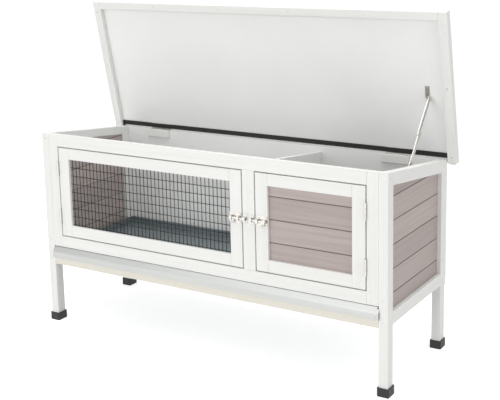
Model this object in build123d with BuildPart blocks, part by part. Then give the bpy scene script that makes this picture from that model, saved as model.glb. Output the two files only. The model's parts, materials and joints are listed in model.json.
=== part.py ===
from build123d import *
import os
from math import atan2, cos, degrees, hypot, radians, sin, tan

# A raised wooden hutch for small animals, in millimetres. X runs to the right seen from the front,
# Y to the back and Z up. The origin is on the floor, in the middle of the whole object.
# Depths behind the front face of the posts go through back_of(), which gives the world Y.

# Body, over the posts
body_width = 1090.0
posts_span = 370.0
front_height = 568.0
roof_fall = 47.0
back_panel_t = 9.0

# Timber sections
post_w = 25.0
post_d = 30.0
frame_t = 18.0
stile_w = 32.0
centre_stile_w = 36.0
centre_stile_x = 154.0
rail_h = 33.0
side_rail_t = 20.0
board_t = 9.0
rebate = 8.0

# Heights of the front frame
front_top_rail_h = 36.0
door_opening_bottom = 265.0
side_rail_bottom = 181.0
tray_rail_bottom = 176.0
back_panel_bottom = 174.0

# Boards with tongue, groove and vee joint
board_pitch = 61.2
side_first_joint = 253.4
door_first_joint = 346.2
board_vee = 1.6
tongue_t = 3.0
tongue_h = 4.0
joint_clear = 0.2

# Feet
cap_wall = 3.3
cap_floor = 4.0
cap_height = 23.0
cap_clear = 0.2
cap_round = 3.0

# Doors
door_gap = 3.0
door_stile_w = 36.0
door_rail_w = 32.0
mesh_wire = 1.8
mesh_columns = 42
mesh_rows = 7

# Door hinges
hinge_length = 44.0
hinge_leaf_t = 1.1
hinge_leaf_depth = 15.0
hinge_r = 3.0
hinge_pin_r = 1.25
hinge_bore_clear = 0.08
hinge_clear = 0.3
knuckle_clear = 0.3
door_hinge_heights = (326.0, 468.0)

# Barrel bolts
latch_height = 403.0
latch_plate_w = 35.0
latch_plate_h = 28.0
latch_plate_t = 1.2
latch_inset = 1.0
strap_w = 7.0
strap_half_h = 5.5
strap_wall = 1.6
strap_inset = 3.0
bolt_r = 3.0
bolt_clear = 0.3
keeper_w = 12.0
keeper_inset = 2.0
keeper_strap_offset = 2.5
bolt_tail = 2.0
handle_r = 2.0
handle_drop = 12.0
handle_knob_r = 3.2
handle_stop_clear = 0.5

# Pull-out tray of folded sheet
sheet_t = 1.0
tray_clear = 0.3
tray_side_clear = 3.0
tray_underside = 205.0
tray_wall_h = 23.0
tray_front_top = 230.0
tray_front_y = 2.0
tray_back_clear = 4.0
fascia_overlap = 2.0
fascia_reach = 6.0
fascia_shoulder_drop = 16.0
fascia_drop = 7.0
fascia_return = 4.0
rivet_r = 2.5
rivet_h = 0.9
rivet_inset = 9.0
tray_top_clear = 2.0

# Supports under the tray
tray_rail_t = 18.0
runner_w = 16.0
runner_h = 15.0
bearer_w = 30.0

# Partition between the two compartments
partition_t = 9.0
partition_drop = 15.0
doorway_w = 130.0
doorway_h = 165.0
doorway_sill = 14.0
doorway_front = 175.0
doorway_round = 40.0

# Lid
lid_open = 71.0
lid_gap = 3.6
lid_panel_t = 7.0
lid_tail = 9.0
lid_side_clear = 3.0
lid_batten_w = 25.0
lid_front_batten_w = 23.0
lid_batten_t = 15.0
batten_end_round = 6.0

# Lid hinges, on top of the back panel and its two inner blocks
lid_hinge_inset = 145.0
lid_hinge_length = 70.0
lid_leaf_t = 1.2
lid_leaf_w = 13.0
lid_knuckle_r = 3.2
hinge_block_w = 82.0
hinge_block_h = 24.0
hinge_block_t = 8.0

# Flexible strip along the lid's hinge line
strip_w = 14.0
strip_t = 2.2
strip_end_tab_t = 2.0
strip_end_tab_depth = 7.0
strip_clear = 0.2

# Folding stay at the right-hand side
stay_frame_y = 190.0
stay_frame_drop = 52.0
stay_lid_distance = 172.0
stay_lid_standoff = 12.0
stay_lower_share = 0.54
stay_stand = 12.0
stay_boss_r = 4.5
stay_arm_w = 13.0
stay_arm_t = 2.0
stay_layer_gap = 0.6
stay_plate_t = 2.0
stay_pin_r = 2.0
stay_pin_clear = 0.08
stay_head_r = 3.6
stay_head_t = 1.2
stay_plate_l = 30.0
stay_plate_h = 20.0
stay_lid_plate_l = 33.0
stay_lid_plate_w = 12.0
stay_lid_plate_shift = 16.0
stay_knuckle_r = 8.0
lever_l = 14.0
lever_w = 6.0
lever_t = 1.4
lever_pin_r = 1.4

# Screw heads
screw_r = 2.8
screw_h = 0.7
head_taper = 25.0
lid_screw_shares = (-0.6, -0.2, 0.2, 0.6)
batten_screw_shares = (0.03, 0.5, 0.92)

# Worked out from the sizes above
half = body_width / 2
body_depth = posts_span + back_panel_t
back_height = front_height - roof_fall
door_opening_top = front_height - front_top_rail_h
roof_angle = atan2(roof_fall, body_depth)
lid_angle = roof_angle + radians(lid_open)
lid_axis_back = lid_knuckle_r + hinge_clear
lid_back_reach = lid_axis_back * cos(roof_angle) + lid_tail * cos(lid_angle)
lid_back_reach += (lid_gap + lid_panel_t) * sin(lid_angle)
y_front = -(body_depth + lid_back_reach - fascia_reach - rivet_h) / 2
lid_axis_y = y_front + body_depth + lid_axis_back * cos(roof_angle)
lid_axis_z = back_height - lid_axis_back * sin(roof_angle)
lid_front = lid_axis_back + (body_depth + lid_side_clear + lid_front_batten_w) / cos(roof_angle)
lid_half = half + lid_side_clear + lid_batten_w
bottom_rail_bottom = door_opening_bottom - rail_h
support_top = tray_underside - tray_clear
tray_half = half - post_w - tray_side_clear
board_outer = half - (side_rail_t - board_t)
board_inner = half - side_rail_t

roof_plane = Plane(origin=(0, lid_axis_y, lid_axis_z), x_dir=(1, 0, 0),
                   z_dir=(0, sin(roof_angle), cos(roof_angle)))
lid_plane = Plane(origin=(0, lid_axis_y, lid_axis_z), x_dir=(1, 0, 0),
                  z_dir=(0, sin(lid_angle), cos(lid_angle)))


def back_of(depth):
    """World Y at a depth behind the front face of the posts."""
    return y_front + depth


def roof(depth):
    """Height of the body's sloping top edge at a depth behind the front face."""
    return front_height - roof_fall * depth / body_depth


def save(part, node):
    """Label a finished piece and write it to its own file."""
    part.label = node
    export_step(part, f"parts/{node}.step")


def block(x_span, y_span, z_span, mode=Mode.ADD):
    """A square-cut piece between two limits on each axis, in the builder's own plane."""
    middle = [(low + high) / 2 for low, high in (x_span, y_span, z_span)]
    size = [high - low for low, high in (x_span, y_span, z_span)]
    with Locations(tuple(middle)):
        Box(*size, mode=mode)


def profile_block(x_span, outline, mode=Mode.ADD):
    """A piece of constant width whose outline is drawn in the side view, as depth and height."""
    with BuildSketch(Plane.YZ.offset(x_span[0])) as profile:
        with BuildLine():
            Polyline(*[(back_of(depth), height) for depth, height in outline], close=True)
        make_face()
    extrude(profile.sketch, amount=x_span[1] - x_span[0], mode=mode)


def rod(start, end, radius, mode=Mode.ADD):
    """A round bar between two points."""
    axis = Vector(*end) - Vector(*start)
    with BuildSketch(Plane(origin=start, z_dir=axis)) as section:
        Circle(radius)
    extrude(section.sketch, amount=axis.length, mode=mode)


def mirrored(span, side):
    """A span of X on the right, or its mirror image on the left when side is -1."""
    return (span[0], span[1]) if side > 0 else (-span[1], -span[0])


def head(point, direction):
    """A low round screw or rivet head standing on a surface."""
    with BuildSketch(Plane(origin=point, z_dir=direction)) as section:
        Circle(screw_r)
    extrude(section.sketch, amount=screw_h, taper=head_taper)


# Posts, with their sloping tops
def make_post(side, front_depth):
    x_span = mirrored((half - post_w, half), side)
    rear_depth = front_depth + post_d
    with BuildPart() as post:
        profile_block(x_span, [(front_depth, cap_floor), (rear_depth, cap_floor),
                               (rear_depth, roof(rear_depth)), (front_depth, roof(front_depth))])
    return post.part


# Soft caps on the four feet, each a cup with a floor
def make_foot_caps():
    outer_w = post_w + 2 * (cap_clear + cap_wall)
    outer_d = post_d + 2 * (cap_clear + cap_wall)
    centres = [(side * (half - post_w / 2), back_of(depth))
               for side in (-1, 1) for depth in (post_d / 2, posts_span - post_d / 2)]
    with BuildPart() as caps:
        with BuildSketch():
            with Locations(*centres):
                RectangleRounded(outer_w, outer_d, cap_round)
        extrude(amount=cap_height)
        with BuildSketch(Plane.XY.offset(cap_floor)):
            with Locations(*centres):
                Rectangle(post_w + 2 * cap_clear, post_d + 2 * cap_clear)
        extrude(amount=cap_height - cap_floor, mode=Mode.SUBTRACT)
    return caps.part


# Front frame, flush with the posts
def make_front_stile(side):
    x_span = mirrored((half - post_w - stile_w, half - post_w), side)
    with BuildPart() as stile:
        profile_block(x_span, [(0, bottom_rail_bottom), (frame_t, bottom_rail_bottom),
                               (frame_t, roof(frame_t)), (0, front_height)])
    return stile.part


inner_stile_edge = half - post_w - stile_w
centre_left = centre_stile_x - centre_stile_w / 2
centre_right = centre_stile_x + centre_stile_w / 2

with BuildPart() as front_top_rail:
    profile_block((-inner_stile_edge, inner_stile_edge),
                  [(0, door_opening_top), (frame_t, door_opening_top),
                   (frame_t, roof(frame_t)), (0, front_height)])

with BuildPart() as front_bottom_rail:
    block((-inner_stile_edge, inner_stile_edge), (back_of(0), back_of(frame_t)),
          (bottom_rail_bottom, door_opening_bottom))

with BuildPart() as centre_stile:
    block((centre_left, centre_right), (back_of(0), back_of(frame_t)),
          (door_opening_bottom, door_opening_top))

# Rails that carry the tray at the front and the back
with BuildPart() as tray_rail_front:
    block((-half + post_w, half - post_w), (back_of(0), back_of(tray_rail_t)),
          (tray_rail_bottom, support_top))

with BuildPart() as tray_rail_back:
    block((-half + post_w, half - post_w), (back_of(posts_span - tray_rail_t), back_of(posts_span)),
          (tray_rail_bottom, support_top))

# Two runners on the side rails and one bearer under the middle of the tray
with BuildPart() as tray_supports:
    for side in (-1, 1):
        block(mirrored((board_inner - runner_w, board_inner), side),
              (back_of(post_d), back_of(posts_span - post_d)), (support_top - runner_h, support_top))
    block((-bearer_w / 2, bearer_w / 2), (back_of(tray_rail_t), back_of(posts_span - tray_rail_t)),
          (tray_rail_bottom, support_top))


# Side rails, rebated on the inside for the boards
def make_side_top_rail(side):
    y_rear = posts_span - post_d
    outline = [(post_d, roof(post_d) - rail_h), (y_rear, roof(y_rear) - rail_h),
               (y_rear, roof(y_rear)), (post_d, roof(post_d))]
    rebate_outline = [(post_d, roof(post_d) - rail_h), (y_rear, roof(y_rear) - rail_h),
                      (y_rear, roof(y_rear) - rail_h + rebate),
                      (post_d, roof(post_d) - rail_h + rebate)]
    with BuildPart() as rail:
        profile_block(mirrored((board_inner, half), side), outline)
        profile_block(mirrored((board_inner, board_outer), side), rebate_outline, Mode.SUBTRACT)
    return rail.part


def make_side_bottom_rail(side):
    y_span = (back_of(post_d), back_of(posts_span - post_d))
    top = side_rail_bottom + rail_h
    with BuildPart() as rail:
        block(mirrored((board_inner, half), side), y_span, (side_rail_bottom, top))
        block(mirrored((board_inner, board_outer), side), y_span, (top - rebate, top), Mode.SUBTRACT)
    return rail.part


# Boards: each is a tongue-and-groove section with a vee on both faces
def board_section(low, high):
    """Points of one board's section as distance through the board and height."""
    middle = board_t / 2
    tongue = tongue_t / 2
    slot = tongue + joint_clear
    top = high - joint_clear / 2
    bottom = low + joint_clear / 2
    slot_top = bottom + tongue_h + joint_clear
    return [(board_vee, bottom), (middle - slot, bottom), (middle - slot, slot_top),
            (middle + slot, slot_top), (middle + slot, bottom), (board_t - board_vee, bottom),
            (board_t, bottom + board_vee), (board_t, top - board_vee), (board_t - board_vee, top),
            (middle + tongue, top), (middle + tongue, top + tongue_h), (middle - tongue, top + tongue_h),
            (middle - tongue, top), (board_vee, top), (0, top - board_vee), (0, bottom + board_vee)]


def joints_between(first_joint, low, high):
    """Heights of the board edges that cover the stretch from low to high."""
    edges = [first_joint]
    while edges[0] > low:
        edges.insert(0, edges[0] - board_pitch)
    while edges[-1] < high:
        edges.append(edges[-1] + board_pitch)
    return edges


def make_side_boards(side):
    y_rear = posts_span - post_d
    low = side_rail_bottom + rail_h - rebate
    trim = [(post_d, low), (y_rear, low), (y_rear, roof(y_rear) - rail_h + rebate),
            (post_d, roof(post_d) - rail_h + rebate)]
    edges = joints_between(side_first_joint, low, roof(post_d) - rail_h + rebate)
    with BuildPart() as boards:
        for lower, upper in zip(edges, edges[1:]):
            with BuildSketch(Plane.XZ.offset(-back_of(post_d))) as section:
                with BuildLine():
                    Polyline(*[(side * (board_inner + through), height)
                               for through, height in board_section(lower, upper)], close=True)
                make_face()
            extrude(section.sketch, amount=-(y_rear - post_d))
        profile_block(mirrored((board_inner, board_outer), side), trim, Mode.INTERSECT)
    return boards.part


# Back panel, outside the rear posts, and the blocks that take the lid's hinges
with BuildPart() as back_panel:
    profile_block((-half, half), [(posts_span, back_panel_bottom), (body_depth, back_panel_bottom),
                                  (body_depth, back_height), (posts_span, roof(posts_span))])

lid_hinge_x = half - lid_hinge_inset
block_front = posts_span - hinge_block_t
with BuildPart() as hinge_blocks:
    for side in (-1, 1):
        x_span = (side * lid_hinge_x - hinge_block_w / 2, side * lid_hinge_x + hinge_block_w / 2)
        profile_block(x_span, [(block_front, roof(block_front) - hinge_block_h),
                               (posts_span, roof(block_front) - hinge_block_h),
                               (posts_span, roof(posts_span)), (block_front, roof(block_front))])

# Partition with a round-cornered doorway
partition_bottom = tray_front_top + tray_top_clear
with BuildPart() as partition:
    profile_block((centre_right - partition_t, centre_right),
                  [(frame_t, partition_bottom), (posts_span, partition_bottom),
                   (posts_span, roof(posts_span) - partition_drop),
                   (frame_t, roof(frame_t) - partition_drop)])
    with BuildSketch(Plane.YZ.offset(centre_right - partition_t)):
        with Locations((back_of(doorway_front + doorway_w / 2),
                        partition_bottom + doorway_sill + doorway_h / 2)):
            RectangleRounded(doorway_w, doorway_h, doorway_round)
    extrude(amount=partition_t, mode=Mode.SUBTRACT)

# Tray: a folded pan with a fascia that leans out over the front
tray_rear = posts_span - tray_back_clear
fascia_half = half - post_w + fascia_overlap
fascia_bottom = tray_underside - fascia_drop
shoulder_z = tray_front_top - fascia_shoulder_drop
lean_slope = fascia_shoulder_drop / (tray_front_y + fascia_reach)
lean_t = sheet_t * hypot(1, lean_slope)
with BuildPart() as tray:
    block((-tray_half, tray_half), (back_of(tray_front_y), back_of(tray_rear)),
          (tray_underside, tray_underside + tray_wall_h))
    block((-tray_half + sheet_t, tray_half - sheet_t),
          (back_of(tray_front_y + sheet_t), back_of(tray_rear - sheet_t)),
          (tray_underside + sheet_t, tray_underside + tray_wall_h), Mode.SUBTRACT)
    block((-tray_half, tray_half), (back_of(tray_front_y), back_of(tray_front_y + sheet_t)),
          (tray_underside, tray_front_top))
    profile_block((-fascia_half, fascia_half),
                  [(tray_front_y + sheet_t, tray_front_top),
                   (tray_front_y + sheet_t, tray_front_top - lean_t),
                   (tray_front_y, tray_front_top - lean_t),
                   (-fascia_reach + sheet_t, shoulder_z + sheet_t * lean_slope - lean_t),
                   (-fascia_reach + sheet_t, fascia_bottom + sheet_t),
                   (-fascia_reach + fascia_return, fascia_bottom + sheet_t),
                   (-fascia_reach + fascia_return, fascia_bottom),
                   (-fascia_reach, fascia_bottom),
                   (-fascia_reach, shoulder_z),
                   (tray_front_y, tray_front_top)])
    for side in (-1, 1):
        block(mirrored((tray_half, fascia_half), side), (back_of(-tray_clear), back_of(post_d)),
              (tray_underside, tray_front_top), Mode.SUBTRACT)

with BuildPart() as tray_rivets:
    for side in (-1, 1):
        middle_z = (fascia_bottom + shoulder_z) / 2
        with BuildSketch(Plane(origin=(side * (fascia_half - rivet_inset), back_of(-fascia_reach), middle_z),
                               z_dir=(0, -1, 0))):
            Circle(rivet_r)
        extrude(amount=rivet_h, taper=head_taper)


# Doors. Each has two stiles and two rails, with the infill held in a rebate at the back.
door_low = door_opening_bottom + door_gap
door_high = door_opening_top - door_gap
door_y = (back_of(0), back_of(frame_t))
infill_y = (back_of(frame_t - board_t), back_of(frame_t))
left_door_x = (-inner_stile_edge + door_gap, centre_left - door_gap)
right_door_x = (centre_right + door_gap, inner_stile_edge - door_gap)


def door_rebate(door_x):
    """The space of the infill, cut out of the back of the door's frame."""
    block((door_x[0] + door_stile_w - rebate, door_x[1] - door_stile_w + rebate), infill_y,
          (door_low + door_rail_w - rebate, door_high - door_rail_w + rebate), Mode.SUBTRACT)


def make_door_stile(door_x, at_left):
    x_span = (door_x[0], door_x[0] + door_stile_w) if at_left else (door_x[1] - door_stile_w, door_x[1])
    with BuildPart() as stile:
        block(x_span, door_y, (door_low, door_high))
        door_rebate(door_x)
    return stile.part


def make_door_rail(door_x, at_top):
    z_span = (door_high - door_rail_w, door_high) if at_top else (door_low, door_low + door_rail_w)
    with BuildPart() as rail:
        block((door_x[0] + door_stile_w, door_x[1] - door_stile_w), door_y, z_span)
        door_rebate(door_x)
    return rail.part


# Welded wire net of the left door: one face with a grid of holes, lapped behind the frame
mesh_x = (left_door_x[0] + door_stile_w - rebate + joint_clear,
          left_door_x[1] - door_stile_w + rebate - joint_clear)
mesh_z = (door_low + door_rail_w - rebate + joint_clear, door_high - door_rail_w + rebate - joint_clear)
mesh_w = mesh_x[1] - mesh_x[0]
mesh_h = mesh_z[1] - mesh_z[0]
column_pitch = (mesh_w - mesh_wire) / mesh_columns
row_pitch = (mesh_h - mesh_wire) / mesh_rows
mesh_back = frame_t - board_t
with BuildPart() as left_door_mesh:
    with BuildSketch(Plane.XZ.offset(-back_of(mesh_back))):
        with Locations(((mesh_x[0] + mesh_x[1]) / 2, (mesh_z[0] + mesh_z[1]) / 2)):
            Rectangle(mesh_w, mesh_h)
            with GridLocations(column_pitch, row_pitch, mesh_columns, mesh_rows):
                Rectangle(column_pitch - mesh_wire, row_pitch - mesh_wire, mode=Mode.SUBTRACT)
    extrude(amount=-mesh_wire)

# Boards of the right door
door_board_x = (right_door_x[0] + door_stile_w - rebate + joint_clear,
                right_door_x[1] - door_stile_w + rebate - joint_clear)
door_board_z = (door_low + door_rail_w - rebate + joint_clear,
                door_high - door_rail_w + rebate - joint_clear)
with BuildPart() as right_door_boards:
    edges = joints_between(door_first_joint, *door_board_z)
    for lower, upper in zip(edges, edges[1:]):
        with BuildSketch(Plane.YZ.offset(door_board_x[0])) as section:
            with BuildLine():
                Polyline(*[(infill_y[0] + through, height)
                           for through, height in board_section(lower, upper)], close=True)
            make_face()
        extrude(section.sketch, amount=door_board_x[1] - door_board_x[0])
    block(door_board_x, infill_y, door_board_z, Mode.INTERSECT)

# Door hinges: leaves in the gap between door and stile, knuckles standing in front
hinge_y = back_of(-hinge_r - hinge_clear)


def knuckle_spans(middle, length):
    """Two outer knuckles and the one between them, with a gap at each meeting."""
    third = length / 3
    low = middle - length / 2
    return ((low, low + third - knuckle_clear), (low + third, low + 2 * third),
            (low + 2 * third + knuckle_clear, low + length))


def make_door_hinge_part(side, on_door):
    """The leaves of both hinges of one door; the frame's leaves carry the pins."""
    axis_x = side * (inner_stile_edge - door_gap / 2)
    if on_door:
        leaf = (inner_stile_edge - door_gap, inner_stile_edge - door_gap + hinge_leaf_t)
    else:
        leaf = (inner_stile_edge - hinge_leaf_t, inner_stile_edge)
    with BuildPart() as leaves:
        for middle in door_hinge_heights:
            lower, inner, upper = knuckle_spans(middle, hinge_length)
            block(mirrored(leaf, side), (back_of(0), back_of(hinge_leaf_depth)), (lower[0], upper[1]))
            for low, high in ((inner,) if on_door else (lower, upper)):
                block(mirrored(leaf, side), (hinge_y, back_of(0)), (low, high))
                rod((axis_x, hinge_y, low), (axis_x, hinge_y, high), hinge_r)
            if on_door:
                rod((axis_x, hinge_y, inner[0]), (axis_x, hinge_y, inner[1]),
                    hinge_pin_r + hinge_bore_clear, Mode.SUBTRACT)
            else:
                rod((axis_x, hinge_y, lower[0]), (axis_x, hinge_y, upper[1]), hinge_pin_r)
    return leaves.part


# Barrel bolts. They are drawn for the left door, whose free edge is on its right, and mirrored
# about the centre stile for the right door.
latch_edge = centre_left - door_gap - latch_inset
plate_front = back_of(-latch_plate_t)
bolt_y = back_of(-latch_plate_t - bolt_r - bolt_clear - strap_wall / 2)
strap_front = bolt_y - bolt_r - bolt_clear - strap_wall
strap_right = latch_edge - strap_inset
strap_left = latch_edge - latch_plate_w + strap_inset
handle_x = strap_left + strap_w + handle_stop_clear + handle_r
keeper_left = centre_left + keeper_inset
keeper_strap_left = keeper_left + keeper_strap_offset
bolt_tip = keeper_strap_left - handle_stop_clear


def about_stile(x_span, side):
    """A span of X for the left door's bolt, or its mirror image about the centre stile."""
    return x_span if side < 0 else (2 * centre_stile_x - x_span[1], 2 * centre_stile_x - x_span[0])


def strap(x_span, side):
    """A bridge over the bolt, bored for it."""
    span = about_stile(x_span, side)
    block(span, (strap_front, plate_front), (latch_height - strap_half_h, latch_height + strap_half_h))
    rod((span[0], bolt_y, latch_height), (span[1], bolt_y, latch_height), bolt_r + bolt_clear, Mode.SUBTRACT)


def make_latch_plate(side):
    with BuildPart() as plate:
        block(about_stile((latch_edge - latch_plate_w, latch_edge), side), (plate_front, back_of(0)),
              (latch_height - latch_plate_h / 2, latch_height + latch_plate_h / 2))
        strap((strap_left, strap_left + strap_w), side)
        strap((strap_right - strap_w, strap_right), side)
    return plate.part


def make_keeper(side):
    with BuildPart() as keeper:
        block(about_stile((keeper_left, keeper_left + keeper_w), side), (plate_front, back_of(0)),
              (latch_height - latch_plate_h / 2, latch_height + latch_plate_h / 2))
        strap((keeper_strap_left, keeper_strap_left + strap_w), side)
    return keeper.part


def make_bolt(side):
    low, high = about_stile((strap_left - bolt_tail, bolt_tip), side)
    grip_x = about_stile((handle_x, handle_x), side)[0]
    grip_end = latch_height - handle_drop
    with BuildPart() as bolt:
        rod((low, bolt_y, latch_height), (high, bolt_y, latch_height), bolt_r)
        rod((grip_x, bolt_y, latch_height), (grip_x, bolt_y - bolt_r, grip_end), handle_r)
        with Locations((grip_x, bolt_y - bolt_r, grip_end)):
            Sphere(handle_knob_r)
    return bolt.part


# Lid, drawn on its own plane: Y runs from its front edge to its hinge, Z out of its top face
batten_z = (lid_gap - lid_batten_t, lid_gap)
with BuildPart(lid_plane) as lid_panel:
    block((-lid_half, lid_half), (-lid_front, lid_tail), (lid_gap, lid_gap + lid_panel_t))


def make_side_batten(side):
    lid_normal = Axis(lid_plane.origin, lid_plane.z_dir)
    lid_run = Axis(lid_plane.origin, lid_plane.y_dir)
    with BuildPart(lid_plane) as batten:
        block(mirrored((lid_half - lid_batten_w, lid_half), side), (-lid_front, lid_tail), batten_z)
        fillet(batten.edges().filter_by(lid_normal).group_by(lid_run)[-1], batten_end_round)
    return batten.part


with BuildPart(lid_plane) as lid_front_batten:
    block((-lid_half + lid_batten_w, lid_half - lid_batten_w),
          (-lid_front, -lid_front + lid_front_batten_w), batten_z)


# Lid hinges: one leaf on the body's top, one under the lid, knuckles behind the back panel
def make_lid_hinge_part(on_lid):
    leaf_z = (lid_gap - lid_leaf_t, lid_gap) if on_lid else (0, lid_leaf_t)
    leaf_y = (-lid_axis_back - lid_leaf_w, -lid_axis_back)
    with BuildPart(lid_plane if on_lid else roof_plane) as leaves:
        for side in (-1, 1):
            lower, inner, upper = knuckle_spans(side * lid_hinge_x, lid_hinge_length)
            block((lower[0], upper[1]), leaf_y, leaf_z)
            for low, high in ((inner,) if on_lid else (lower, upper)):
                block((low, high), (-lid_axis_back, 0), leaf_z)
                with Locations(Location(((low + high) / 2, 0, 0), (0, 90, 0))):
                    Cylinder(lid_knuckle_r, high - low)
            with Locations(Location((side * lid_hinge_x, 0, 0), (0, 90, 0))):
                if on_lid:
                    Cylinder(hinge_pin_r + hinge_bore_clear, lid_hinge_length, mode=Mode.SUBTRACT)
                else:
                    Cylinder(hinge_pin_r, lid_hinge_length)
    return leaves.part


# Black flexible strip under the lid along the hinge line, with a tab past each end of the body
strip_front = -lid_axis_back - strip_w
strip_rear = -lid_axis_back - hinge_clear
strip_half = half + lid_side_clear / 2 + strip_end_tab_t / 2
with BuildPart(lid_plane) as hinge_strip:
    block((-strip_half, strip_half), (strip_front, strip_rear), (lid_gap - strip_t, lid_gap))
    for side in (-1, 1):
        block(mirrored((strip_half - strip_end_tab_t, strip_half), side), (strip_front, lid_tail),
              (lid_gap - strip_end_tab_depth, lid_gap))
        x_span = (side * lid_hinge_x - lid_hinge_length / 2 - strip_clear,
                  side * lid_hinge_x + lid_hinge_length / 2 + strip_clear)
        block(x_span, (strip_front - strip_clear, strip_rear + strip_clear),
              (lid_gap - lid_leaf_t - strip_clear, lid_gap), Mode.SUBTRACT)

# Folding stay. Its two arms lie side by side and stand off the right-hand top rail on a boss.
stay_lid_y = lid_axis_y - stay_lid_distance * cos(lid_angle) - (stay_lid_standoff - lid_gap) * sin(lid_angle)
stay_lid_z = lid_axis_z + stay_lid_distance * sin(lid_angle) - (stay_lid_standoff - lid_gap) * cos(lid_angle)
stay_foot = (back_of(stay_frame_y), front_height - stay_frame_drop)
stay_top = (stay_lid_y, stay_lid_z)
stay_middle = tuple(a + (b - a) * stay_lower_share for a, b in zip(stay_foot, stay_top))
lower_x = board_inner - stay_plate_t - stay_stand - stay_arm_t
upper_x = lower_x - stay_layer_gap - stay_arm_t


def stay_arm(x_low, start, end):
    """A flat arm with round ends between two points of the side view."""
    middle = ((start[0] + end[0]) / 2, (start[1] + end[1]) / 2)
    length = hypot(end[0] - start[0], end[1] - start[1])
    lean = degrees(atan2(end[1] - start[1], end[0] - start[0]))
    with BuildSketch(Plane.YZ.offset(x_low)) as outline:
        with Locations(Location((middle[0], middle[1]), lean)):
            SlotCenterToCenter(length, stay_arm_w)
    extrude(outline.sketch, amount=stay_arm_t)


def disc(x_low, x_high, centre, radius, mode=Mode.ADD):
    """A round piece along X at a point of the side view."""
    rod((x_low, *centre), (x_high, *centre), radius, mode)


with BuildPart() as stay_frame_bracket:
    block((board_inner - stay_plate_t, board_inner),
          (stay_foot[0] - stay_plate_l / 2, stay_foot[0] + stay_plate_l / 2),
          (stay_foot[1] - stay_plate_h / 2, stay_foot[1] + stay_plate_h / 2))
    disc(lower_x + stay_arm_t + stay_layer_gap, board_inner - stay_plate_t, stay_foot, stay_boss_r)
    disc(lower_x - stay_layer_gap - stay_head_t, board_inner - stay_plate_t, stay_foot, stay_pin_r)
    disc(lower_x - stay_layer_gap - stay_head_t, lower_x - stay_layer_gap, stay_foot, stay_head_r)

with BuildPart() as stay_lower_arm:
    stay_arm(lower_x, stay_foot, stay_middle)
    disc(lower_x, lower_x + stay_arm_t, stay_middle, stay_knuckle_r)
    disc(lower_x, lower_x + stay_arm_t, stay_foot, stay_pin_r + stay_pin_clear, Mode.SUBTRACT)
    disc(lower_x, lower_x + stay_arm_t + stay_layer_gap + lever_t, stay_middle, lever_pin_r)

with BuildPart() as stay_upper_arm:
    stay_arm(upper_x, stay_middle, stay_top)
    disc(upper_x, upper_x + stay_arm_t, stay_middle, stay_knuckle_r)
    disc(upper_x - stay_head_t, upper_x, stay_middle, stay_head_r)
    disc(upper_x, upper_x + stay_arm_t, stay_top, stay_pin_r + stay_pin_clear, Mode.SUBTRACT)

# Small thumb lever at the knuckle, which lets the stay fold
lever_x = lower_x + stay_arm_t + stay_layer_gap / 2
with BuildPart() as stay_lever:
    with BuildSketch(Plane.YZ.offset(lever_x)) as outline:
        with Locations((stay_middle[0] - lever_l / 2, stay_middle[1])):
            SlotCenterToCenter(lever_l, lever_w)
    extrude(outline.sketch, amount=lever_t)
    disc(lever_x, lever_x + lever_t, stay_middle, lever_pin_r + stay_pin_clear, Mode.SUBTRACT)

# Bracket on the lid: a plate screwed under it and an ear that carries the upper arm's pin
ear_x = upper_x - stay_layer_gap - stay_plate_t
plate_middle = -stay_lid_distance - stay_lid_plate_shift
plate_y = (plate_middle - stay_lid_plate_l / 2, plate_middle + stay_lid_plate_l / 2)
with BuildPart(lid_plane) as stay_lid_bracket:
    block((ear_x + stay_plate_t - stay_lid_plate_w, ear_x + stay_plate_t), plate_y,
          (lid_gap - stay_plate_t, lid_gap))
    ear_z = lid_gap - stay_lid_standoff
    block((ear_x, ear_x + stay_plate_t),
          (-stay_lid_distance - stay_arm_w / 2, -stay_lid_distance + stay_arm_w / 2),
          (ear_z - stay_arm_w / 2, lid_gap))
    pin_end = upper_x + stay_arm_t + stay_layer_gap / 2
    with Locations(Location(((ear_x + pin_end) / 2, -stay_lid_distance, ear_z), (0, 90, 0))):
        Cylinder(stay_pin_r, pin_end - ear_x)

# Screw heads that show on the body: on the posts at the rails, front and sides, and on the back
rail_heights = (tray_rail_bottom + rail_h / 2, bottom_rail_bottom + rail_h / 2)
with BuildPart() as body_screws:
    for side in (-1, 1):
        front_x = side * (half - post_w / 2)
        for height in (*rail_heights, front_height - rail_h / 2):
            head((front_x, back_of(0), height), (0, -1, 0))
        for depth in (post_d / 2, posts_span - post_d / 2):
            for height in (*rail_heights, roof(depth) - rail_h / 2):
                head((side * half, back_of(depth), height), (side, 0, 0))
        for height in (*rail_heights, back_height - rail_h / 2):
            head((front_x, back_of(body_depth), height), (0, 1, 0))

# Screw heads under the lid's battens
with BuildPart() as lid_screws:
    under_z = lid_gap - lid_batten_t
    down = tuple(-lid_plane.z_dir)
    front_row = [(x * lid_half, -lid_front + lid_front_batten_w / 2) for x in lid_screw_shares]
    side_rows = [(side * (lid_half - lid_batten_w / 2), -lid_front * share)
                 for side in (-1, 1) for share in batten_screw_shares]
    for x, y in front_row + side_rows:
        head(tuple(lid_plane.from_local_coords((x, y, under_z))), down)

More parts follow.
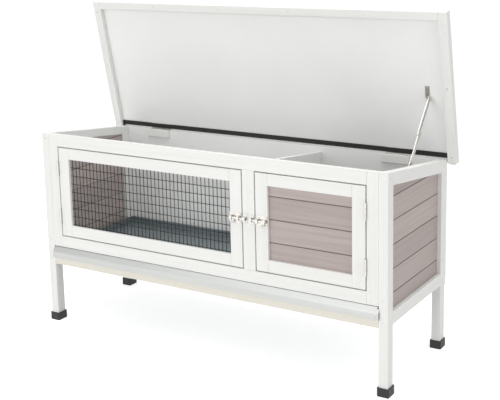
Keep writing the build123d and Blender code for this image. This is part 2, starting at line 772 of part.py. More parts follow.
os.makedirs("parts", exist_ok=True)
sides = {"left": -1, "right": 1}
for name, side in sides.items():
    save(make_post(side, 0), f"post_front_{name}")
    save(make_post(side, posts_span - post_d), f"post_rear_{name}")
    save(make_front_stile(side), f"front_stile_{name}")
    save(make_side_top_rail(side), f"side_top_rail_{name}")
    save(make_side_bottom_rail(side), f"side_bottom_rail_{name}")
    save(make_side_boards(side), f"side_boards_{name}")
    save(make_door_hinge_part(side, True), f"{name}_door_hinge_leaves")
    save(make_door_hinge_part(side, False), f"{name}_frame_hinge_leaves")
    save(make_latch_plate(side), f"{name}_latch_plate")
    save(make_bolt(side), f"{name}_bolt")
    save(make_keeper(side), f"{name}_keeper")
    save(make_side_batten(side), f"lid_batten_{name}")

for name, door_x in (("left", left_door_x), ("right", right_door_x)):
    hinged_left = name == "left"
    save(make_door_stile(door_x, hinged_left), f"{name}_door_hinge_stile")
    save(make_door_stile(door_x, not hinged_left), f"{name}_door_latch_stile")
    save(make_door_rail(door_x, True), f"{name}_door_top_rail")
    save(make_door_rail(door_x, False), f"{name}_door_bottom_rail")

save(make_foot_caps(), "foot_caps")
save(front_top_rail.part, "front_top_rail")
save(front_bottom_rail.part, "front_bottom_rail")
save(centre_stile.part, "centre_stile")
save(tray_rail_front.part, "tray_rail_front")
save(tray_rail_back.part, "tray_rail_back")
save(tray_supports.part, "tray_supports")
save(back_panel.part, "back_panel")
save(hinge_blocks.part, "hinge_blocks")
save(partition.part, "partition")
save(tray.part, "tray")
save(tray_rivets.part, "tray_rivets")
save(left_door_mesh.part, "left_door_mesh")
save(right_door_boards.part, "right_door_boards")
save(lid_panel.part, "lid_panel")
save(lid_front_batten.part, "lid_batten_front")
save(make_lid_hinge_part(False), "body_hinge_leaves")
save(make_lid_hinge_part(True), "lid_hinge_leaves")
save(hinge_strip.part, "hinge_strip")
save(stay_frame_bracket.part, "stay_frame_bracket")
save(stay_lower_arm.part, "stay_lower_arm")
save(stay_upper_arm.part, "stay_upper_arm")
save(stay_lever.part, "stay_lever")
save(stay_lid_bracket.part, "stay_lid_bracket")
save(body_screws.part, "body_screws")
save(lid_screws.part, "lid_screws")
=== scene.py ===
"""The looks of a raised wooden hutch with an open lid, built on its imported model."""

import json
from math import cos, pi, radians, sin

import bmesh
import bpy
from bpy.props import FloatProperty, FloatVectorProperty, PointerProperty
from mathutils import Matrix, Vector

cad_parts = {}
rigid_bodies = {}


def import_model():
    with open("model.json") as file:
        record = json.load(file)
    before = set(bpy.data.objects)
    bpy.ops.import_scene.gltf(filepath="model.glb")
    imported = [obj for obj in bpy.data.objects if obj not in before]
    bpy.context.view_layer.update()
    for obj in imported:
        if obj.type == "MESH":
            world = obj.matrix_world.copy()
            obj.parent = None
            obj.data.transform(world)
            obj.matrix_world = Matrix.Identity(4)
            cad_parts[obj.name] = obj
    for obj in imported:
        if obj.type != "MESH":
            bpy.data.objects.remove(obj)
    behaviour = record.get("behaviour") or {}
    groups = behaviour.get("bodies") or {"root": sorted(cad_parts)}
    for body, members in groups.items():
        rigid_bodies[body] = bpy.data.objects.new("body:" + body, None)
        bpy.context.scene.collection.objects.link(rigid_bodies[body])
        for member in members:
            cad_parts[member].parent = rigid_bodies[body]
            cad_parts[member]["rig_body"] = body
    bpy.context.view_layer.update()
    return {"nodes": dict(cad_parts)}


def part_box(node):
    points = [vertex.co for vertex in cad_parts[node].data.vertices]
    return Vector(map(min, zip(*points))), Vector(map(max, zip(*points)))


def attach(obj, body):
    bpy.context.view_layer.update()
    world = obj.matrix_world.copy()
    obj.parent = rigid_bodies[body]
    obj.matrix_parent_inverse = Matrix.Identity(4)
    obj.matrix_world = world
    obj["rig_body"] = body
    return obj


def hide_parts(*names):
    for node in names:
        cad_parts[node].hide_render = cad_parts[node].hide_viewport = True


bl_info = {
    "name": "Raised Hutch",
    "version": (1, 0, 0),
    "blender": (4, 5, 0),
    "location": "View3D > Sidebar > Hutch",
    "description": "Finishes a raised hutch with painted timber, stained boards, wire net and tray",
    "category": "Object",
}

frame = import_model()

# Painted pieces, by the direction in which their grain runs
PAINTED = {
    "x": ["front_top_rail", "front_bottom_rail", "left_door_top_rail", "left_door_bottom_rail",
          "right_door_top_rail", "right_door_bottom_rail", "hinge_blocks", "lid_batten_front"],
    "y": ["side_top_rail_left", "side_top_rail_right", "side_bottom_rail_left", "side_bottom_rail_right"],
    "z": ["post_front_left", "post_front_right", "post_rear_left", "post_rear_right",
          "front_stile_left", "front_stile_right", "centre_stile", "left_door_hinge_stile",
          "left_door_latch_stile", "right_door_hinge_stile", "right_door_latch_stile",
          "lid_batten_left", "lid_batten_right"],
}
# Pieces round the tray, in the frame's white paint but given a darker cream that is painted shade, by the
# direction in which their grain runs
SHADED_RAILS = {"x": ["tray_rail_front", "tray_rail_back"], "y": ["tray_supports"]}
PANELS = ["lid_panel", "back_panel", "partition"]
SIDE_BOARDS = ["side_boards_left", "side_boards_right"]
DOOR_BOARDS = ["right_door_boards"]
HARDWARE = ["body_hinge_leaves", "lid_hinge_leaves", "left_door_hinge_leaves", "right_door_hinge_leaves",
            "left_frame_hinge_leaves", "right_frame_hinge_leaves", "left_latch_plate",
            "right_latch_plate", "left_keeper", "right_keeper", "left_bolt", "right_bolt",
            "stay_frame_bracket", "stay_lid_bracket", "stay_lower_arm", "stay_upper_arm", "stay_lever"]
# Share of a board's height that its joint line takes, and how dark the line is: partly stain in the joint,
# partly painted shade of the groove
JOINT_SHARE = 0.028
JOINT_SHADE = 0.62
# How dark the darker streaks of white paint are, against its colour
TIMBER_SHADE = 0.955
PANEL_SHADE = 0.97
# Wires lie this many radii apart where they cross, so the weld sinks one into the other
WELD_STEP = 1.8
# Plate thickness that a small screw head sits on, and its clearance to the edge
PLATE_FACE = 0.0012
# Glow that lifts the floor to white for the camera
FLOOR_GLOW = 0.62
GRAIN_STRETCH = {"x": (3.0, 90.0, 90.0), "y": (90.0, 3.0, 90.0), "z": (90.0, 90.0, 3.0)}


def colour_prop(name, description, default):
    """A colour that the user can change."""
    return FloatVectorProperty(name=name, description=description, default=default,
                               subtype="COLOR", size=3, min=0.0, max=1.0)


def length_prop(name, description, default):
    """A length that the user can change."""
    return FloatProperty(name=name, description=description, default=default,
                         subtype="DISTANCE", unit="LENGTH", min=0.0)


class HutchTimber(bpy.types.PropertyGroup):
    """Sizes and colours of the wooden pieces."""

    paint: colour_prop("Paint", "White paint of the frame, doors and battens", (0.80, 0.80, 0.778))
    # Darker cream of the rails and supports round the tray: painted shade on the frame's white paint
    rail_shade_paint: colour_prop("Primer", "Cream primer of the rails and supports round the tray",
                        (0.76, 0.725, 0.645))
    panel: colour_prop("Panel", "Paint of the lid, back and partition", (0.87, 0.87, 0.855))
    stain: colour_prop("Stain", "Grey-brown stain of the boards", (0.45, 0.388, 0.368))
    stain_dark: colour_prop("Dark grain", "Darker streaks in the stained boards", (0.375, 0.31, 0.29))
    arris: length_prop("Arris", "How far a painted piece's edges are eased", 0.0012)
    board_arris: length_prop("Board arris", "How far a board's edges are eased", 0.0004)
    board_pitch: length_prop("Board pitch", "Height of one board, joint to joint", 0.0612)
    side_first_joint: length_prop("Side joint", "Height of one joint of the side boards", 0.2534)
    door_first_joint: length_prop("Door joint", "Height of one joint of the door boards", 0.3462)


class HutchWire(bpy.types.PropertyGroup):
    """Sizes and colour of the welded net."""

    radius: length_prop("Wire radius", "Radius of one wire", 0.001)
    across: length_prop("Pitch across", "Distance from one upright wire to the next", 0.0127)
    upward: length_prop("Pitch upward", "Distance from one level wire to the next", 0.0242)
    coat: colour_prop("Coat", "Black coat of the wire", (0.010, 0.010, 0.011))


class HutchMetal(bpy.types.PropertyGroup):
    """Colours of the tray and the fittings, and the size of the screws."""

    sheet: colour_prop("Sheet", "Galvanised sheet of the tray", (0.52, 0.53, 0.515))
    # Darker colour inside the tray's pan: painted shade and painted dark reflection of the shaded inside
    # of the hutch
    pan_shade: colour_prop("Pan", "Dull sheet inside the tray's pan", (0.27, 0.31, 0.325))
    nickel: colour_prop("Nickel", "Plating of hinges, bolts and stay", (0.66, 0.645, 0.61))
    rubber: colour_prop("Rubber", "Foot caps", (0.013, 0.013, 0.014))
    strip: colour_prop("Strip", "Flexible strip along the lid's hinge line", (0.014, 0.015, 0.013))
    screw_radius: length_prop("Screw head", "Radius of a small plate screw's head", 0.0022)


class HutchStage(bpy.types.PropertyGroup):
    """Camera and light."""

    lens: FloatProperty(name="Lens", description="Focal length on a 36 mm frame", default=75.59,
                        subtype="DISTANCE_CAMERA", unit="CAMERA", min=1.0)
    eye: FloatVectorProperty(name="Eye", description="Where the camera stands",
                             default=(1.53884, -2.39882, 1.16509), subtype="XYZ", unit="LENGTH", size=3)
    yaw: FloatProperty(name="Yaw", description="Turn of the camera to the left",
                       default=0.55716, subtype="ANGLE", unit="ROTATION")
    pitch: FloatProperty(name="Pitch", description="Tilt of the camera, upward positive",
                         default=-0.19072, subtype="ANGLE", unit="ROTATION")
    roll: FloatProperty(name="Roll", description="Lean of the camera",
                        default=-0.0222, subtype="ANGLE", unit="ROTATION")
    drop: FloatProperty(name="Shift", description="Upright shift that frames the whole object",
                        default=-0.16)
    sky: FloatProperty(name="Room light", description="Strength of the even light of the room",
                       default=0.70, min=0.0)
    key: FloatProperty(name="Key light", description="Power of the large lamp at the front",
                       default=68.0, unit="POWER", min=0.0)
    top: FloatProperty(name="Top light", description="Power of the lamp above",
                       default=60.0, unit="POWER", min=0.0)
    fill: FloatProperty(name="Fill light", description="Power of the lamp at the right",
                        default=22.0, unit="POWER", min=0.0)


# Materials

def new_material(name):
    """An empty node material with its principled shader and output linked."""
    material = bpy.data.materials.new(name)
    material.use_nodes = True
    nodes = material.node_tree.nodes
    nodes.clear()
    shader = nodes.new("ShaderNodeBsdfPrincipled")
    output = nodes.new("ShaderNodeOutputMaterial")
    material.node_tree.links.new(shader.outputs["BSDF"], output.inputs["Surface"])
    return material, shader


def add(material, kind, **settings):
    """One node, with its settings."""
    node = material.node_tree.nodes.new(kind)
    for name, value in settings.items():
        setattr(node, name, value)
    return node


def link(material, source, target):
    """Join two sockets."""
    material.node_tree.links.new(source, target)


def object_noise(material, scale, detail=4.0, roughness=0.5):
    """Noise on the object's own coordinates, stretched by three scales."""
    where = add(material, "ShaderNodeTexCoord")
    mapping = add(material, "ShaderNodeMapping")
    mapping.inputs["Scale"].default_value = scale
    noise = add(material, "ShaderNodeTexNoise")
    noise.inputs["Scale"].default_value = 1.0
    noise.inputs["Detail"].default_value = detail
    noise.inputs["Roughness"].default_value = roughness
    link(material, where.outputs["Object"], mapping.inputs["Vector"])
    link(material, mapping.outputs["Vector"], noise.inputs["Vector"])
    return noise


def two_colours(material, factor, low, high, start=0.35, end=0.65):
    """A blend of two colours by a factor."""
    ramp = add(material, "ShaderNodeValToRGB")
    ramp.color_ramp.elements[0].position = start
    ramp.color_ramp.elements[0].color = (*low, 1.0)
    ramp.color_ramp.elements[1].position = end
    ramp.color_ramp.elements[1].color = (*high, 1.0)
    link(material, factor, ramp.inputs["Fac"])
    return ramp.outputs["Color"]


def rough_between(material, factor, low, high, shader):
    """Roughness that varies between two values by a factor."""
    spread = add(material, "ShaderNodeMapRange")
    spread.inputs["To Min"].default_value = low
    spread.inputs["To Max"].default_value = high
    link(material, factor, spread.inputs["Value"])
    link(material, spread.outputs["Result"], shader.inputs["Roughness"])


def add_bump(material, height, shader, strength, distance):
    """Surface relief from a height."""
    bump = add(material, "ShaderNodeBump")
    bump.inputs["Strength"].default_value = strength
    bump.inputs["Distance"].default_value = distance
    link(material, height, bump.inputs["Height"])
    link(material, bump.outputs["Normal"], shader.inputs["Normal"])


def painted_timber(name, colour, grain):
    """White paint on sawn softwood: the grain telegraphs through as faint streaks."""
    material, shader = new_material(name)
    streaks = object_noise(material, GRAIN_STRETCH[grain], detail=5.0)
    shade = tuple(channel * TIMBER_SHADE for channel in colour)
    blend = two_colours(material, streaks.outputs["Fac"], shade, colour)
    link(material, blend, shader.inputs["Base Color"])
    rough_between(material, streaks.outputs["Fac"], 0.42, 0.62, shader)
    add_bump(material, streaks.outputs["Fac"], shader, 0.25, 0.0006)
    return material


def painted_panel(name, colour):
    """Rolled paint on plywood: a fine orange-peel with broad, very faint patches."""
    material, shader = new_material(name)
    patches = object_noise(material, (5.0, 5.0, 5.0), detail=3.0)
    peel = object_noise(material, (420.0, 420.0, 420.0), detail=2.0)
    shade = tuple(channel * PANEL_SHADE for channel in colour)
    blend = two_colours(material, patches.outputs["Fac"], shade, colour)
    link(material, blend, shader.inputs["Base Color"])
    rough_between(material, patches.outputs["Fac"], 0.40, 0.55, shader)
    add_bump(material, peel.outputs["Fac"], shader, 0.12, 0.0003)
    return material


def stained_board(name, timber, grain, first_joint):
    """Grey-brown stain with long grain, a little different from board to board."""
    material, shader = new_material(name)
    streaks = object_noise(material, GRAIN_STRETCH[grain], detail=8.0, roughness=0.6)
    colour = two_colours(material, streaks.outputs["Fac"], tuple(timber.stain_dark), tuple(timber.stain),
                         0.28, 0.62)
    where = add(material, "ShaderNodeTexCoord")
    split = add(material, "ShaderNodeSeparateXYZ")
    link(material, where.outputs["Object"], split.inputs["Vector"])
    count = add(material, "ShaderNodeMath", operation="SUBTRACT")
    count.inputs[1].default_value = first_joint
    link(material, split.outputs["Z"], count.inputs[0])
    row = add(material, "ShaderNodeMath", operation="DIVIDE")
    row.inputs[1].default_value = timber.board_pitch
    link(material, count.outputs["Value"], row.inputs[0])
    whole = add(material, "ShaderNodeMath", operation="FLOOR")
    link(material, row.outputs["Value"], whole.inputs[0])
    chance = add(material, "ShaderNodeTexWhiteNoise", noise_dimensions="1D")
    link(material, whole.outputs["Value"], chance.inputs["W"])
    level = add(material, "ShaderNodeMapRange")
    level.inputs["To Min"].default_value = 0.90
    level.inputs["To Max"].default_value = 1.08
    link(material, chance.outputs["Value"], level.inputs["Value"])
    # Darker line at each joint: partly stain in the joint, partly painted shade of the groove
    place = add(material, "ShaderNodeMath", operation="FRACT")
    link(material, row.outputs["Value"], place.inputs[0])
    on_board = add(material, "ShaderNodeMath", operation="COMPARE")
    on_board.inputs[1].default_value = 0.5
    on_board.inputs[2].default_value = 0.5 - JOINT_SHARE
    link(material, place.outputs["Value"], on_board.inputs[0])
    joint = add(material, "ShaderNodeMapRange")
    joint.inputs["To Min"].default_value = JOINT_SHADE
    joint.inputs["To Max"].default_value = 1.0
    link(material, on_board.outputs["Value"], joint.inputs["Value"])
    shaded = add(material, "ShaderNodeMath", operation="MULTIPLY")
    link(material, level.outputs["Result"], shaded.inputs[0])
    link(material, joint.outputs["Result"], shaded.inputs[1])
    tint = add(material, "ShaderNodeHueSaturation")
    link(material, shaded.outputs["Value"], tint.inputs["Value"])
    link(material, colour, tint.inputs["Color"])
    link(material, tint.outputs["Color"], shader.inputs["Base Color"])
    rough_between(material, streaks.outputs["Fac"], 0.45, 0.7, shader)
    add_bump(material, streaks.outputs["Fac"], shader, 0.35, 0.0007)
    return material


def galvanised(name, colour, pan_shade, pan_front):
    """Zinc-coated sheet: faint streaks along its front, and inside the pan a darker colour with soft
    spangles that is painted shade and painted dark reflection.
    """
    material, shader = new_material(name)
    where = add(material, "ShaderNodeTexCoord")
    spangle = add(material, "ShaderNodeTexVoronoi")
    spangle.inputs["Scale"].default_value = 110.0
    link(material, where.outputs["Object"], spangle.inputs["Vector"])
    grey = add(material, "ShaderNodeSeparateColor")
    link(material, spangle.outputs["Color"], grey.inputs["Color"])
    shade = tuple(channel * 0.94 for channel in colour)
    streaks = object_noise(material, GRAIN_STRETCH["x"], detail=4.0)
    zinc = two_colours(material, streaks.outputs["Fac"], shade, colour)
    # Inside the pan: painted shade and painted dark reflection, with soft spangles
    shaded_pan = two_colours(material, grey.outputs["Green"], tuple(channel * 0.85 for channel in pan_shade), pan_shade,
                       0.0, 1.0)
    split = add(material, "ShaderNodeSeparateXYZ")
    link(material, where.outputs["Object"], split.inputs["Vector"])
    inside = add(material, "ShaderNodeMapRange")
    inside.inputs["From Min"].default_value = pan_front
    inside.inputs["From Max"].default_value = pan_front + 0.01
    link(material, split.outputs["Y"], inside.inputs["Value"])
    mix = add(material, "ShaderNodeMix", data_type="RGBA")
    link(material, inside.outputs["Result"], mix.inputs[0])
    link(material, zinc, mix.inputs[6])
    link(material, shaded_pan, mix.inputs[7])
    link(material, mix.outputs[2], shader.inputs["Base Color"])
    rough_between(material, streaks.outputs["Fac"], 0.34, 0.46, shader)
    shader.inputs["Metallic"].default_value = 0.6
    return material


def plated(name, colour):
    """Nickel plating, satin, with fine wear."""
    material, shader = new_material(name)
    wear = object_noise(material, (300.0, 300.0, 300.0), detail=3.0)
    shade = tuple(channel * 0.8 for channel in colour)
    link(material, two_colours(material, wear.outputs["Fac"], shade, colour), shader.inputs["Base Color"])
    rough_between(material, wear.outputs["Fac"], 0.22, 0.38, shader)
    shader.inputs["Metallic"].default_value = 1.0
    return material


def moulded(name, colour, low, high, relief):
    """Dark moulded or coated surface with a fine texture."""
    material, shader = new_material(name)
    grit = object_noise(material, (700.0, 700.0, 700.0), detail=2.0)
    shade = tuple(channel * 0.7 for channel in colour)
    link(material, two_colours(material, grit.outputs["Fac"], shade, colour), shader.inputs["Base Color"])
    rough_between(material, grit.outputs["Fac"], low, high, shader)
    add_bump(material, grit.outputs["Fac"], shader, relief, 0.0002)
    return material


def finish_node(node, material):
    """Give a CAD node its material."""
    slots = frame["nodes"][node].data.materials
    slots.clear()
    slots.append(material)


# Shapes

def node_body(node):
    """Name of the body that a CAD node rides on."""
    return frame["nodes"][node]["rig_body"]


def add_piece(name, bm, material, body, smooth=False):
    """Make an object of a bmesh, with its finish, and let it ride on a body."""
    mesh = bpy.data.meshes.new(name)
    for face in bm.faces:
        face.smooth = smooth
    bm.to_mesh(mesh)
    bm.free()
    mesh.materials.append(material)
    piece = bpy.data.objects.new(name, mesh)
    bpy.context.scene.collection.objects.link(piece)
    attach(piece, body)
    return piece


def eased_copy(node, width, material):
    """Stand a copy with eased edges in the place of a square-cut CAD node."""
    bm = bmesh.new()
    bm.from_mesh(frame["nodes"][node].data)
    bmesh.ops.remove_doubles(bm, verts=bm.verts, dist=2e-5)
    bmesh.ops.dissolve_limit(bm, angle_limit=radians(0.5), verts=bm.verts, edges=bm.edges)
    sharp = [edge for edge in bm.edges
             if len(edge.link_faces) == 2 and edge.calc_face_angle(0.0) > radians(30)]
    bmesh.ops.bevel(bm, geom=sharp, offset=width, offset_type="OFFSET", segments=2, profile=0.5,
                    affect="EDGES", clamp_overlap=True, material=-1)
    piece = add_piece(f"{node}_eased", bm, material, node_body(node))
    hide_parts(node)
    return piece


def screw_head(bm, middle, outward, radius, height):
    """Add a low head with a four-winged recess at a point, facing outward."""
    made = bmesh.ops.create_cone(bm, cap_ends=True, segments=12, radius1=radius, radius2=radius * 0.8,
                                 depth=height)
    verts = made["verts"]
    bmesh.ops.translate(bm, verts=verts, vec=(0, 0, height / 2))
    top = max({face for vert in verts for face in vert.link_faces}, key=lambda f: f.calc_center_median().z)
    bmesh.ops.inset_individual(bm, faces=[top], thickness=radius * 0.2)
    wedges = bmesh.ops.poke(bm, faces=[top])["faces"]
    wings = [face for index, face in enumerate(wedges) if index % 3 == 0]
    sunk = bmesh.ops.extrude_face_region(bm, geom=wings)
    bottom = [item for item in sunk["geom"] if isinstance(item, bmesh.types.BMVert)]
    bmesh.ops.translate(bm, verts=bottom, vec=(0, 0, -height * 0.6))
    bmesh.ops.delete(bm, geom=wings, context="FACES_ONLY")
    turn = Vector((0, 0, 1)).rotation_difference(Vector(outward)).to_matrix().to_4x4()
    every = set(verts) | set(bottom) | {v for f in wedges if f.is_valid for v in f.verts}
    every |= {vert for vert in bm.verts if not vert.tag}
    bmesh.ops.transform(bm, matrix=Matrix.Translation(middle) @ turn, verts=list(every))
    for vert in bm.verts:
        vert.tag = True


def islands(mesh):
    """Centre, outward direction and width of each loose solid of a mesh of flat heads."""
    bm = bmesh.new()
    bm.from_mesh(mesh)
    bmesh.ops.remove_doubles(bm, verts=bm.verts, dist=2e-5)
    found = []
    left = set(bm.verts)
    while left:
        front = [left.pop()]
        group = list(front)
        while front:
            vert = front.pop()
            for edge in vert.link_edges:
                other = edge.other_vert(vert)
                if other in left:
                    left.remove(other)
                    front.append(other)
                    group.append(other)
        faces = {face for vert in group for face in vert.link_faces}
        caps = sorted((f for f in faces), key=lambda f: f.calc_area(), reverse=True)
        normal_of = {}
        for face in caps:
            key = tuple(round(c, 2) for c in face.normal)
            normal_of[key] = normal_of.get(key, 0.0) + face.calc_area()
        two = sorted(normal_of.items(), key=lambda item: item[1], reverse=True)[:2]
        top = Vector(two[1][0])
        low = min((v.co for v in group), key=lambda co: co.dot(top))
        middle = sum((v.co for v in group), Vector()) / len(group)
        middle += top * (low.dot(top) - middle.dot(top))
        radius = max((v.co - middle).cross(top).length for v in group)
        found.append((middle, top, radius))
    bm.free()
    return found


def build_net(wire):
    """Uprights in front and level wires behind, welded where they cross."""
    low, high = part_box("left_door_mesh")
    bm = bmesh.new()
    front = low.y + wire.radius
    behind = front + WELD_STEP * wire.radius
    columns = int((high.x - low.x - 2 * wire.radius) / wire.across)
    rows = int((high.z - low.z - 2 * wire.radius) / wire.upward)
    start_x = (low.x + high.x - columns * wire.across) / 2
    start_z = (low.z + high.z - rows * wire.upward) / 2
    for index in range(columns + 1):
        centre = Vector((start_x + index * wire.across, front, (low.z + high.z) / 2))
        bmesh.ops.create_cone(bm, cap_ends=True, segments=8, radius1=wire.radius, radius2=wire.radius,
                              depth=high.z - low.z, matrix=Matrix.Translation(centre))
    across = Matrix.Rotation(pi / 2, 4, "Y")
    for index in range(rows + 1):
        centre = Vector(((low.x + high.x) / 2, behind, start_z + index * wire.upward))
        bmesh.ops.create_cone(bm, cap_ends=True, segments=8, radius1=wire.radius, radius2=wire.radius,
                              depth=high.x - low.x, matrix=Matrix.Translation(centre) @ across)
    return bm


class HUTCH_OT_paint_timber(bpy.types.Operator):
    """Ease the edges of the white frame, doors and battens, and paint them"""

    bl_idname = "hutch.paint_timber"
    bl_label = "Paint timber"

    def execute(self, context):
        timber = context.scene.hutch_timber
        # The rails and supports round the tray get the darker cream, which is painted shade
        for finish, colour, groups in (("white_paint", timber.paint, PAINTED),
                                       ("cream_rail_shade", timber.rail_shade_paint, SHADED_RAILS)):
            for grain, nodes in groups.items():
                paint = painted_timber(f"{finish}_{grain}", tuple(colour), grain)
                for node in nodes:
                    eased_copy(node, timber.arris, paint)
        return {"FINISHED"}


class HUTCH_OT_paint_panels(bpy.types.Operator):
    """Paint the lid, the back and the partition"""

    bl_idname = "hutch.paint_panels"
    bl_label = "Paint panels"

    def execute(self, context):
        timber = context.scene.hutch_timber
        paint = painted_panel("white_panel_paint", tuple(timber.panel))
        for node in PANELS:
            eased_copy(node, timber.arris * 0.5, paint)
        return {"FINISHED"}


class HUTCH_OT_stain_boards(bpy.types.Operator):
    """Stain the boards of both sides and of the right door"""

    bl_idname = "hutch.stain_boards"
    bl_label = "Stain boards"

    def execute(self, context):
        timber = context.scene.hutch_timber
        side = stained_board("side_board_stain", timber, "y", timber.side_first_joint)
        door = stained_board("door_board_stain", timber, "x", timber.door_first_joint)
        for node in SIDE_BOARDS:
            eased_copy(node, timber.board_arris, side)
        for node in DOOR_BOARDS:
            eased_copy(node, timber.board_arris, door)
        return {"FINISHED"}


class HUTCH_OT_weld_net(bpy.types.Operator):
    """Weld the wire net of the left door"""

    bl_idname = "hutch.weld_net"
    bl_label = "Weld net"

    def execute(self, context):
        wire = context.scene.hutch_wire
        coat = moulded("black_wire_coat", tuple(wire.coat), 0.35, 0.5, 0.1)
        net = add_piece("welded_net", build_net(wire), coat, "left_door", smooth=True)
        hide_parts("left_door_mesh")
        return {"FINISHED"}


class HUTCH_OT_fold_tray(bpy.types.Operator):
    """Give the tray and its rivets their zinc coat"""

    bl_idname = "hutch.fold_tray"
    bl_label = "Fold tray"

    def execute(self, context):
        metal = context.scene.hutch_metal
        # Behind this depth the pan gets its darker colour, which is painted shade and painted dark
        # reflection
        pan_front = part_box("post_front_left")[0].y + 0.004
        sheet = galvanised("galvanised_sheet", tuple(metal.sheet), tuple(metal.pan_shade), pan_front)
        for node in ("tray", "tray_rivets"):
            finish_node(node, sheet)
        return {"FINISHED"}


class HUTCH_OT_fit_hardware(bpy.types.Operator):
    """Plate the hinges, bolts and stay, and drive all the screws"""

    bl_idname = "hutch.fit_hardware"
    bl_label = "Fit hardware"

    def execute(self, context):
        metal = context.scene.hutch_metal
        nickel = plated("nickel_plate", tuple(metal.nickel))
        for node in HARDWARE:
            finish_node(node, nickel)
        for node in ("body_screws", "lid_screws"):
            bm = bmesh.new()
            for middle, outward, radius in islands(frame["nodes"][node].data):
                screw_head(bm, middle, outward, radius, 0.0007)
            heads = add_piece(f"{node}_heads", bm, nickel, node_body(node))
            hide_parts(node)
        for side in ("left", "right"):
            self.plate_screws(f"{side}_latch_plate", nickel, metal.screw_radius, 4)
            self.plate_screws(f"{side}_keeper", nickel, metal.screw_radius, 2)
        return {"FINISHED"}

    def plate_screws(self, node, material, radius, count):
        """Two or four screw heads near the edges of a plate on the front."""
        low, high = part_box(node)
        face_y = high.y - PLATE_FACE
        inset = radius + PLATE_FACE
        columns = (low.x + inset, high.x - inset) if count == 4 else ((low.x + high.x) / 2,)
        bm = bmesh.new()
        for x in columns:
            for z in (low.z + inset, high.z - inset):
                screw_head(bm, Vector((x, face_y, z)), (0, -1, 0), radius, 0.0008)
        add_piece(f"{node}_screws", bm, material, node_body(node))


class HUTCH_OT_cap_feet(bpy.types.Operator):
    """Round the four foot caps and give the strip along the lid's hinge line its rubber finish"""

    bl_idname = "hutch.cap_feet"
    bl_label = "Cap feet and lay strip"

    def execute(self, context):
        metal = context.scene.hutch_metal
        rubber = moulded("foot_cap_rubber", tuple(metal.rubber), 0.45, 0.62, 0.3)
        eased_copy("foot_caps", 0.0008, rubber)
        strip = moulded("hinge_strip_rubber", tuple(metal.strip), 0.5, 0.7, 0.4)
        finish_node("hinge_strip", strip)
        return {"FINISHED"}


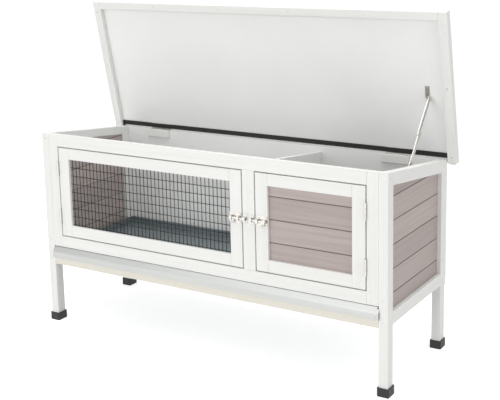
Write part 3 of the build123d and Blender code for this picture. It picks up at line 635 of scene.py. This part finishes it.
class HUTCH_OT_set_stage(bpy.types.Operator):
    """Set the floor, the soft light and the camera"""

    bl_idname = "hutch.set_stage"
    bl_label = "Set stage"

    def execute(self, context):
        stage = context.scene.hutch_stage
        self.lay_floor()
        self.light_room(stage.sky)
        self.hang_lamp("key_lamp", (-1.0, -4.2, 1.2), (0, 0, 0.55), 2.8, stage.key)
        self.hang_lamp("side_lamp", (3.6, -1.2, 1.6), (0, 0, 0.4), 2.4, stage.fill)
        self.hang_lamp("top_lamp", (0.2, -0.3, 3.4), (0, 0, 0.4), 2.2, stage.top)
        self.place_camera(stage)
        view = context.scene.view_settings
        view.view_transform = "Standard"
        return {"FINISHED"}

    def lay_floor(self):
        """A wide pale floor that shows white and keeps the object's shadow."""
        bm = bmesh.new()
        bmesh.ops.create_grid(bm, x_segments=1, y_segments=1, size=15.0)
        mesh = bpy.data.meshes.new("floor")
        bm.to_mesh(mesh)
        bm.free()
        floor = bpy.data.objects.new("floor", mesh)
        bpy.context.scene.collection.objects.link(floor)
        material = bpy.data.materials.new("pale_floor")
        material.use_nodes = True
        material.node_tree.nodes.clear()
        pale = add(material, "ShaderNodeBsdfDiffuse")
        pale.inputs["Color"].default_value = (0.8, 0.8, 0.8, 1.0)
        glow = add(material, "ShaderNodeEmission")
        glow.inputs["Strength"].default_value = FLOOR_GLOW
        both = add(material, "ShaderNodeAddShader")
        link(material, pale.outputs["BSDF"], both.inputs[0])
        link(material, glow.outputs["Emission"], both.inputs[1])
        choose = add(material, "ShaderNodeMixShader")
        link(material, self.seen_directly(material), choose.inputs["Fac"])
        link(material, pale.outputs["BSDF"], choose.inputs[1])
        link(material, both.outputs["Shader"], choose.inputs[2])
        output = add(material, "ShaderNodeOutputMaterial")
        link(material, choose.outputs["Shader"], output.inputs["Surface"])
        mesh.materials.append(material)

    def seen_directly(self, holder):
        """1 for camera, glossy and transmitted rays, and 0 for the rays that carry light."""
        path = add(holder, "ShaderNodeLightPath")
        mirror = add(holder, "ShaderNodeMath", operation="MAXIMUM")
        link(holder, path.outputs["Is Camera Ray"], mirror.inputs[0])
        link(holder, path.outputs["Is Glossy Ray"], mirror.inputs[1])
        through = add(holder, "ShaderNodeMath", operation="MAXIMUM")
        link(holder, mirror.outputs["Value"], through.inputs[0])
        link(holder, path.outputs["Is Transmission Ray"], through.inputs[1])
        return through.outputs["Value"]

    def light_room(self, strength):
        """Even light from all round, in front of a white background."""
        world = bpy.data.worlds.new("room")
        bpy.context.scene.world = world
        world.use_nodes = True
        world.node_tree.nodes.clear()
        level = add(world, "ShaderNodeMapRange")
        level.inputs["To Min"].default_value = strength
        level.inputs["To Max"].default_value = 1.0
        link(world, self.seen_directly(world), level.inputs["Value"])
        background = add(world, "ShaderNodeBackground")
        link(world, level.outputs["Result"], background.inputs["Strength"])
        output = add(world, "ShaderNodeOutputWorld")
        link(world, background.outputs["Background"], output.inputs["Surface"])

    def hang_lamp(self, name, place, target, size, power):
        """A large square lamp that looks at a point."""
        data = bpy.data.lights.new(name, "AREA")
        data.shape = "SQUARE"
        data.size = size
        data.energy = power
        lamp = bpy.data.objects.new(name, data)
        aim = (Vector(target) - Vector(place)).to_track_quat("-Z", "Y")
        lamp.matrix_world = Matrix.Translation(place) @ aim.to_matrix().to_4x4()
        bpy.context.scene.collection.objects.link(lamp)

    def place_camera(self, stage):
        """The camera at the photograph's angle, on its lens."""
        forward = Vector((-sin(stage.yaw) * cos(stage.pitch), cos(stage.yaw) * cos(stage.pitch),
                          sin(stage.pitch)))
        level = Vector((cos(stage.yaw), sin(stage.yaw), 0))
        upright = level.cross(forward)
        right = level * cos(stage.roll) + upright * sin(stage.roll)
        up = upright * cos(stage.roll) - level * sin(stage.roll)
        data = bpy.data.cameras.new("camera")
        data.sensor_width = 36.0
        data.lens = stage.lens
        data.shift_y = stage.drop
        data.clip_end = 100.0
        camera = bpy.data.objects.new("camera", data)
        turned = Matrix((right, up, -forward)).transposed().to_4x4()
        camera.matrix_world = Matrix.Translation(stage.eye) @ turned
        bpy.context.scene.collection.objects.link(camera)
        bpy.context.scene.camera = camera


class HUTCH_PT_build(bpy.types.Panel):
    """Sizes, colours and steps of the hutch"""

    bl_label = "Hutch"
    bl_idname = "HUTCH_PT_build"
    bl_space_type = "VIEW_3D"
    bl_region_type = "UI"
    bl_category = "Hutch"

    def draw(self, context):
        for group, operators in STEPS:
            box = self.layout.box()
            settings = getattr(context.scene, group)
            for name in settings.__annotations__:
                box.prop(settings, name)
            for operator in operators:
                box.operator(operator.bl_idname)


STEPS = (
    ("hutch_stage", (HUTCH_OT_set_stage,)),
    ("hutch_timber", (HUTCH_OT_paint_timber, HUTCH_OT_paint_panels, HUTCH_OT_stain_boards)),
    ("hutch_wire", (HUTCH_OT_weld_net,)),
    ("hutch_metal", (HUTCH_OT_fold_tray, HUTCH_OT_fit_hardware, HUTCH_OT_cap_feet)),
)
GROUPS = {"hutch_timber": HutchTimber, "hutch_wire": HutchWire, "hutch_metal": HutchMetal,
          "hutch_stage": HutchStage}


def classes():
    """Every class that Blender has to know."""
    operators = [operator for _, steps in STEPS for operator in steps]
    return [*GROUPS.values(), *operators, HUTCH_PT_build]


def register():
    for cls in classes():
        bpy.utils.register_class(cls)
    for name, group in GROUPS.items():
        setattr(bpy.types.Scene, name, PointerProperty(type=group))


def unregister():
    for name in GROUPS:
        delattr(bpy.types.Scene, name)
    for cls in reversed(classes()):
        bpy.utils.unregister_class(cls)


def main():
    register()
    bpy.ops.hutch.set_stage()
    bpy.ops.hutch.paint_timber()
    bpy.ops.hutch.paint_panels()
    bpy.ops.hutch.stain_boards()
    bpy.ops.hutch.weld_net()
    bpy.ops.hutch.fold_tray()
    bpy.ops.hutch.fit_hardware()
    bpy.ops.hutch.cap_feet()


if __name__ == "__main__":
    main()
